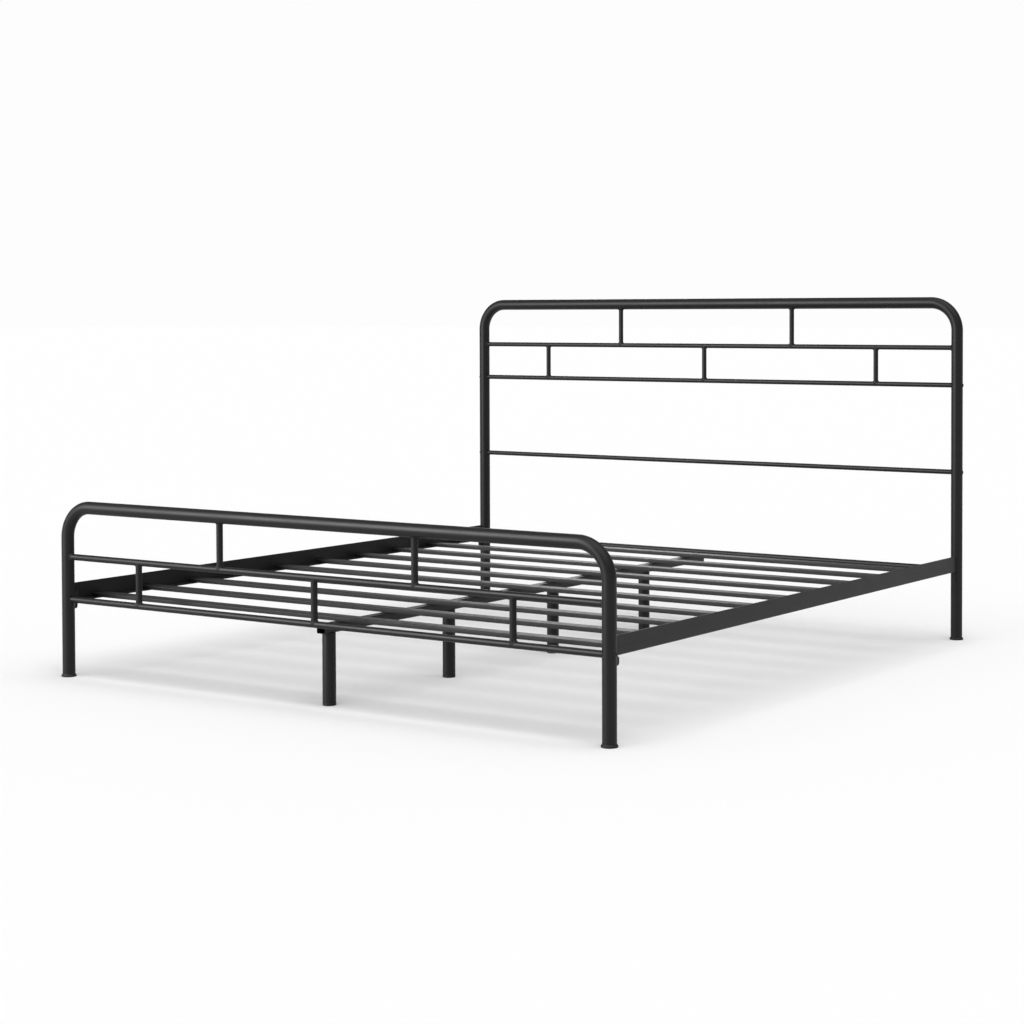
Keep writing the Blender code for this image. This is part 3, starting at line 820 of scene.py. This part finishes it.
def bracket_welds(side, end, label):
    """The beads between a bracket and its post: the whole height inside, and outside only where
    the side rail doesn't cover it."""
    low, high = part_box(f"{label}_rail_bracket")
    post = (side * HALF_X, end * HALF_Y, 0)
    away = (0, -end, 0)
    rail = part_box(f"{'left' if side < 0 else 'right'}_side_rail")[0].z
    inner = min(abs(low.x), abs(high.x)) - HALF_X
    outer = max(abs(low.x), abs(high.x)) - HALF_X
    start = (0, 0, low.z + WELD_INSET)
    span = (start, (0, 0, high.z - WELD_INSET))
    below = (start, (0, 0, rail - WELD_UNDER_RAIL))
    return [
        plate_weld(post, away, (-side, 0, 0), POST_RADIUS, -inner, *span, side + 2 * end),
        plate_weld(post, away, (side, 0, 0), POST_RADIUS, outer, *below, side - 2 * end),
    ]


def rail_bolt(node, side):
    """A hexagon bolt. At turn t the head's side stands at the hexagon's radius, and its top is cut
    by a cone that starts at the flats, so the corners are lower; the shank ends in a thread."""
    low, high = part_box(node)
    head = (high.z - low.z) / 2
    flat = max(head, (high.y - low.y) / 2) * math.cos(math.pi / 6)
    turn = np.arange(TUBE_SIDES) * 2 * np.pi / TUBE_SIDES
    corner = hexagon_radius(turn, flat)
    one = np.ones_like(turn)
    inner = min(abs(low.x), abs(high.x))
    length = max(abs(low.x), abs(high.x)) - inner
    bevel = (corner - flat * RAIL_BOLT_CONE) * RAIL_BOLT_CONE_SLOPE
    under = RAIL_BOLT_HEAD - BOLT_EDGE
    radius = [0.002 * one, flat * 0.92 * one, flat * RAIL_BOLT_CONE * one, corner, corner]
    height = [0.0003 * one, 0.0001 * one, 0.0002 * one, 0.0003 + bevel, under * one]
    radius += [flat * 0.97 * one, flat * 0.97 * one, RAIL_BOLT_SHANK * one]
    height += [under * one, RAIL_BOLT_HEAD * one, RAIL_BOLT_HEAD * one]
    rise = np.linspace(RAIL_BOLT_HEAD + BOLT_EDGE / 2, length - RAIL_BOLT_TIP, 40)
    wave = (1 - np.cos(2 * np.pi * rise / THREAD_PITCH)) / 2
    thread = RAIL_BOLT_SHANK - RAIL_THREAD_DEPTH * wave
    radius += [*np.outer(thread, one), (RAIL_BOLT_SHANK - 0.0010) * one, 0.001 * one]
    height += [*np.outer(rise, one), (length - 0.0001) * one, length * one]
    place = along_x(side * inner, (low.y + high.y) / 2, (low.z + high.z) / 2, side)
    finish_piece(node, "black_steel", [turned(radius, height, place)], crease=BOLT_CREASE)


def slat(node):
    """A channel open downwards carried along X: two legs, two folds of constant thickness and a
    flat top."""
    low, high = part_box(node)
    half = (high.y - low.y) / 2
    centre = (low.y + high.y) / 2
    inside = SLAT_FOLD - SLAT_SHEET
    right = (half - SLAT_FOLD, high.z - SLAT_FOLD)
    left = (SLAT_FOLD - half, high.z - SLAT_FOLD)
    profile = np.concatenate([
        [(half, low.z)],
        arc(right, SLAT_FOLD, 0, 90),
        arc(left, SLAT_FOLD, 90, 180),
        [(-half, low.z), (SLAT_SHEET - half, low.z)],
        arc(left, inside, 180, 90, 4),
        arc(right, inside, 90, 0, 4),
        [(half - SLAT_SHEET, low.z)],
    ])
    profile[:, 0] += centre
    rings = run(profile, 0, low.x, high.x)
    finish_piece(node, "powder_coat", [flat_ended(rings)], edge=CUT_EDGE)


def weld_nut(leg, level):
    """A hexagon nut over a leg, its bore round and its outline a hexagon at every height."""
    centre = middle(leg)
    turn = np.arange(THIN_SIDES) * 2 * np.pi / THIN_SIDES
    flat = hexagon_radius(turn, NUT_FLAT)
    bore = np.full(THIN_SIDES, STUD_HOLE)
    radius = np.array([flat, flat, bore, bore])
    height = level + np.array([0, NUT_HEIGHT, NUT_HEIGHT, 0])[:, None] + 0 * radius
    x = centre.x + radius * np.cos(turn)
    y = centre.y + radius * np.sin(turn)
    return looped(np.stack([x, y, height], axis=-1))


def centre_rail():
    """A rectangular tube with round corners carried along Y, open at its ends, with a hole and a
    nut over each leg's stud."""
    low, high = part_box("centre_rail")
    half = (high.x - low.x) / 2

    def outline(inset):
        radius = CENTRE_CORNER - inset
        x, bottom, top = half - CENTRE_CORNER, low.z + CENTRE_CORNER, high.z - CENTRE_CORNER
        return np.concatenate([
            arc((x, bottom), radius, -90, 0),
            arc((x, top), radius, 0, 90),
            arc((-x, top), radius, 90, 180),
            arc((-x, bottom), radius, 180, 270),
        ])

    outer = run(outline(0), 1, low.y, high.y)
    inner = run(outline(CENTRE_WALL), 1, low.y, high.y)
    skins = [looped(np.concatenate([outer, inner[::-1]]))]
    holes = []
    for number in range(1, 5):
        leg = f"centre_leg_{number}"
        skins.append(weld_nut(leg, low.z + CENTRE_WALL))
        place = Matrix.Translation((middle(leg).x, middle(leg).y, low.z))
        holes.append(turned([STUD_HOLE, STUD_HOLE], STUD_HOLE_SPAN, place, THIN_SIDES))
    finish_piece("centre_rail", "powder_coat", skins, holes, edge=FINE_EDGE, crease=TUBE_CREASE)


def tongue(end, sign):
    """The flat plate that carries an end of the centre rail, its root shaped to the lower bar, with
    a bead above and below."""
    node = f"centre_rail_{end}_tongue"
    low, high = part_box(node)
    axis, radius = level_of(f"{end}board_lower_bar")
    tip = low.y if sign > 0 else high.y
    levels = np.linspace(low.z, high.z, 7)
    roots = sign * (HALF_Y - np.sqrt((radius + FIT_GAP) ** 2 - (levels - axis) ** 2))
    outline = np.concatenate([[(tip, high.z), (tip, low.z)], np.stack([roots, levels], axis=1)])
    plate = flat_ended(run(outline, 0, low.x, high.x))
    finish_piece(node, "powder_coat", [plate], edge=FINE_EDGE)
    centre = (0, sign * HALF_Y, axis)
    away = (0, -sign, 0)
    ends = ((low.x + WELD_INSET, 0, 0), (high.x - WELD_INSET, 0, 0))
    return [
        plate_weld(centre, away, (0, 0, 1), radius, high.z - axis, *ends, sign),
        plate_weld(centre, away, (0, 0, -1), radius, axis - low.z, *ends, 2 * sign),
    ]


def base():
    """Feet, side rails with their brackets and bolts, centre rail with its legs, and slats."""
    for end, along in ENDS.items():
        welds = []
        for side, across in SIDES.items():
            label = f"{end}_{side}"
            foot_cap(f"{label}_foot_cap")
            rail_bracket(f"{label}_rail_bracket", across, along)
            welds += bracket_welds(across, along, label)
            rail_bolt(f"{label}_rail_bolt", across)
        welds += tongue(end, along)
        new_piece(f"{end}board_bracket_welds", "powder_coat", welds, crease=WELD_CREASE)
    for side, sign in SIDES.items():
        side_rail(f"{side}_side_rail", sign)
    centre_rail()
    for node in sorted(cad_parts):
        if node.startswith("centre_leg_glide"):
            glide(node)
        elif node.startswith("centre_leg"):
            centre_leg(node)
        elif node.startswith("slat"):
            slat(node)


# Studio


def studio_floor():
    """A plain pale floor, far wider than the frame."""
    span = 120.0
    corners = [(-span, -span, 0), (span, -span, 0), (span, span, 0), (-span, span, 0)]
    mesh = bpy.data.meshes.new("studio_floor")
    mesh.from_pydata(corners, [], [(0, 1, 2, 3)])
    floor = bpy.data.objects.new("studio_floor", mesh)
    bpy.context.scene.collection.objects.link(floor)
    shop = Shop("pale_floor")
    white = (FLOOR_WHITE, FLOOR_WHITE, FLOOR_WHITE, 1.0)
    shop.set(Base_Color=white, Roughness=0.9, Specular_IOR_Level=0.0)
    mesh.materials.append(shop.finish)


def soft_panel(name, place, aim, size, strength):
    """A rectangular soft light that shows in gloss and lights nothing else, so that the floor
    stays even."""
    panel = bpy.data.lights.new(name, "AREA")
    panel.shape = "RECTANGLE"
    panel.size, panel.size_y = size
    panel.energy = strength * math.pi * size[0] * size[1]
    item = bpy.data.objects.new(name, panel)
    bpy.context.scene.collection.objects.link(item)
    towards = Vector(aim) - Vector(place)
    turning = towards.to_track_quat("-Z", "Y").to_matrix().to_4x4()
    item.matrix_world = Matrix.Translation(place) @ turning
    item.visible_camera = False
    item.visible_diffuse = False


def studio_light():
    """A very soft light from overhead, and a tall soft panel at the left of each end."""
    sun = bpy.data.lights.new("soft_overhead", "SUN")
    sun.energy = 2.24
    sun.angle = math.radians(70)
    sun.specular_factor = 0.15
    item = bpy.data.objects.new("soft_overhead", sun)
    bpy.context.scene.collection.objects.link(item)
    item.rotation_euler = Vector((-0.25, 0.25, -1.0)).to_track_quat("-Z", "Y").to_euler()
    soft_panel("front_panel", (-4.2, -6.6, 3.3), (0.0, 0.0, 1.6), (3.6, 4.8), 20.0)
    soft_panel("back_panel", (-2.6, 4.4, 2.2), (0.0, 0.6, 0.6), (1.6, 1.6), 5.0)


def studio_room():
    """An even white room, which is dimmer in gloss than on plain surfaces and white behind."""
    world = bpy.data.worlds.new("studio")
    bpy.context.scene.world = world
    world.use_nodes = True
    nodes = world.node_tree.nodes
    links = world.node_tree.links
    ray = nodes.new("ShaderNodeLightPath")

    def even(strength):
        shade = nodes.new("ShaderNodeBackground")
        shade.inputs["Color"].default_value = (1.0, 1.0, 1.0, 1.0)
        shade.inputs["Strength"].default_value = strength
        return shade.outputs["Background"]

    def either(kind, without, within):
        mix = nodes.new("ShaderNodeMixShader")
        links.new(ray.outputs[kind], mix.inputs["Fac"])
        links.new(without, mix.inputs[1])
        links.new(within, mix.inputs[2])
        return mix.outputs["Shader"]

    lit = either("Is Glossy Ray", even(ROOM_ON_SURFACES), even(ROOM_IN_GLOSS))
    seen = either("Is Camera Ray", lit, even(ROOM_BEHIND))
    links.new(seen, nodes["World Output"].inputs["Surface"])


def studio_camera():
    """Eye height, from the right of the foot end, nearly level."""
    yaw, pitch, roll = 0.5966, 0.0289, -0.0028
    lens = bpy.data.cameras.new("camera")
    lens.lens = 76.24
    lens.sensor_width = 36.0
    lens.shift_x = -0.0404
    lens.shift_y = -0.1350
    lens.clip_end = 500.0
    camera = bpy.data.objects.new("camera", lens)
    bpy.context.scene.collection.objects.link(camera)
    level = Matrix.Rotation(yaw, 4, "Z") @ Matrix.Rotation(math.pi / 2 - pitch, 4, "X")
    turning = level @ Matrix.Rotation(roll, 4, "Z")
    camera.matrix_world = Matrix.Translation((3.888, -5.615, 1.093)) @ turning
    bpy.context.scene.camera = camera


headboard()
footboard()
base()
studio_floor()
studio_light()
studio_room()
studio_camera()
bpy.context.scene.view_settings.view_transform = "Standard"
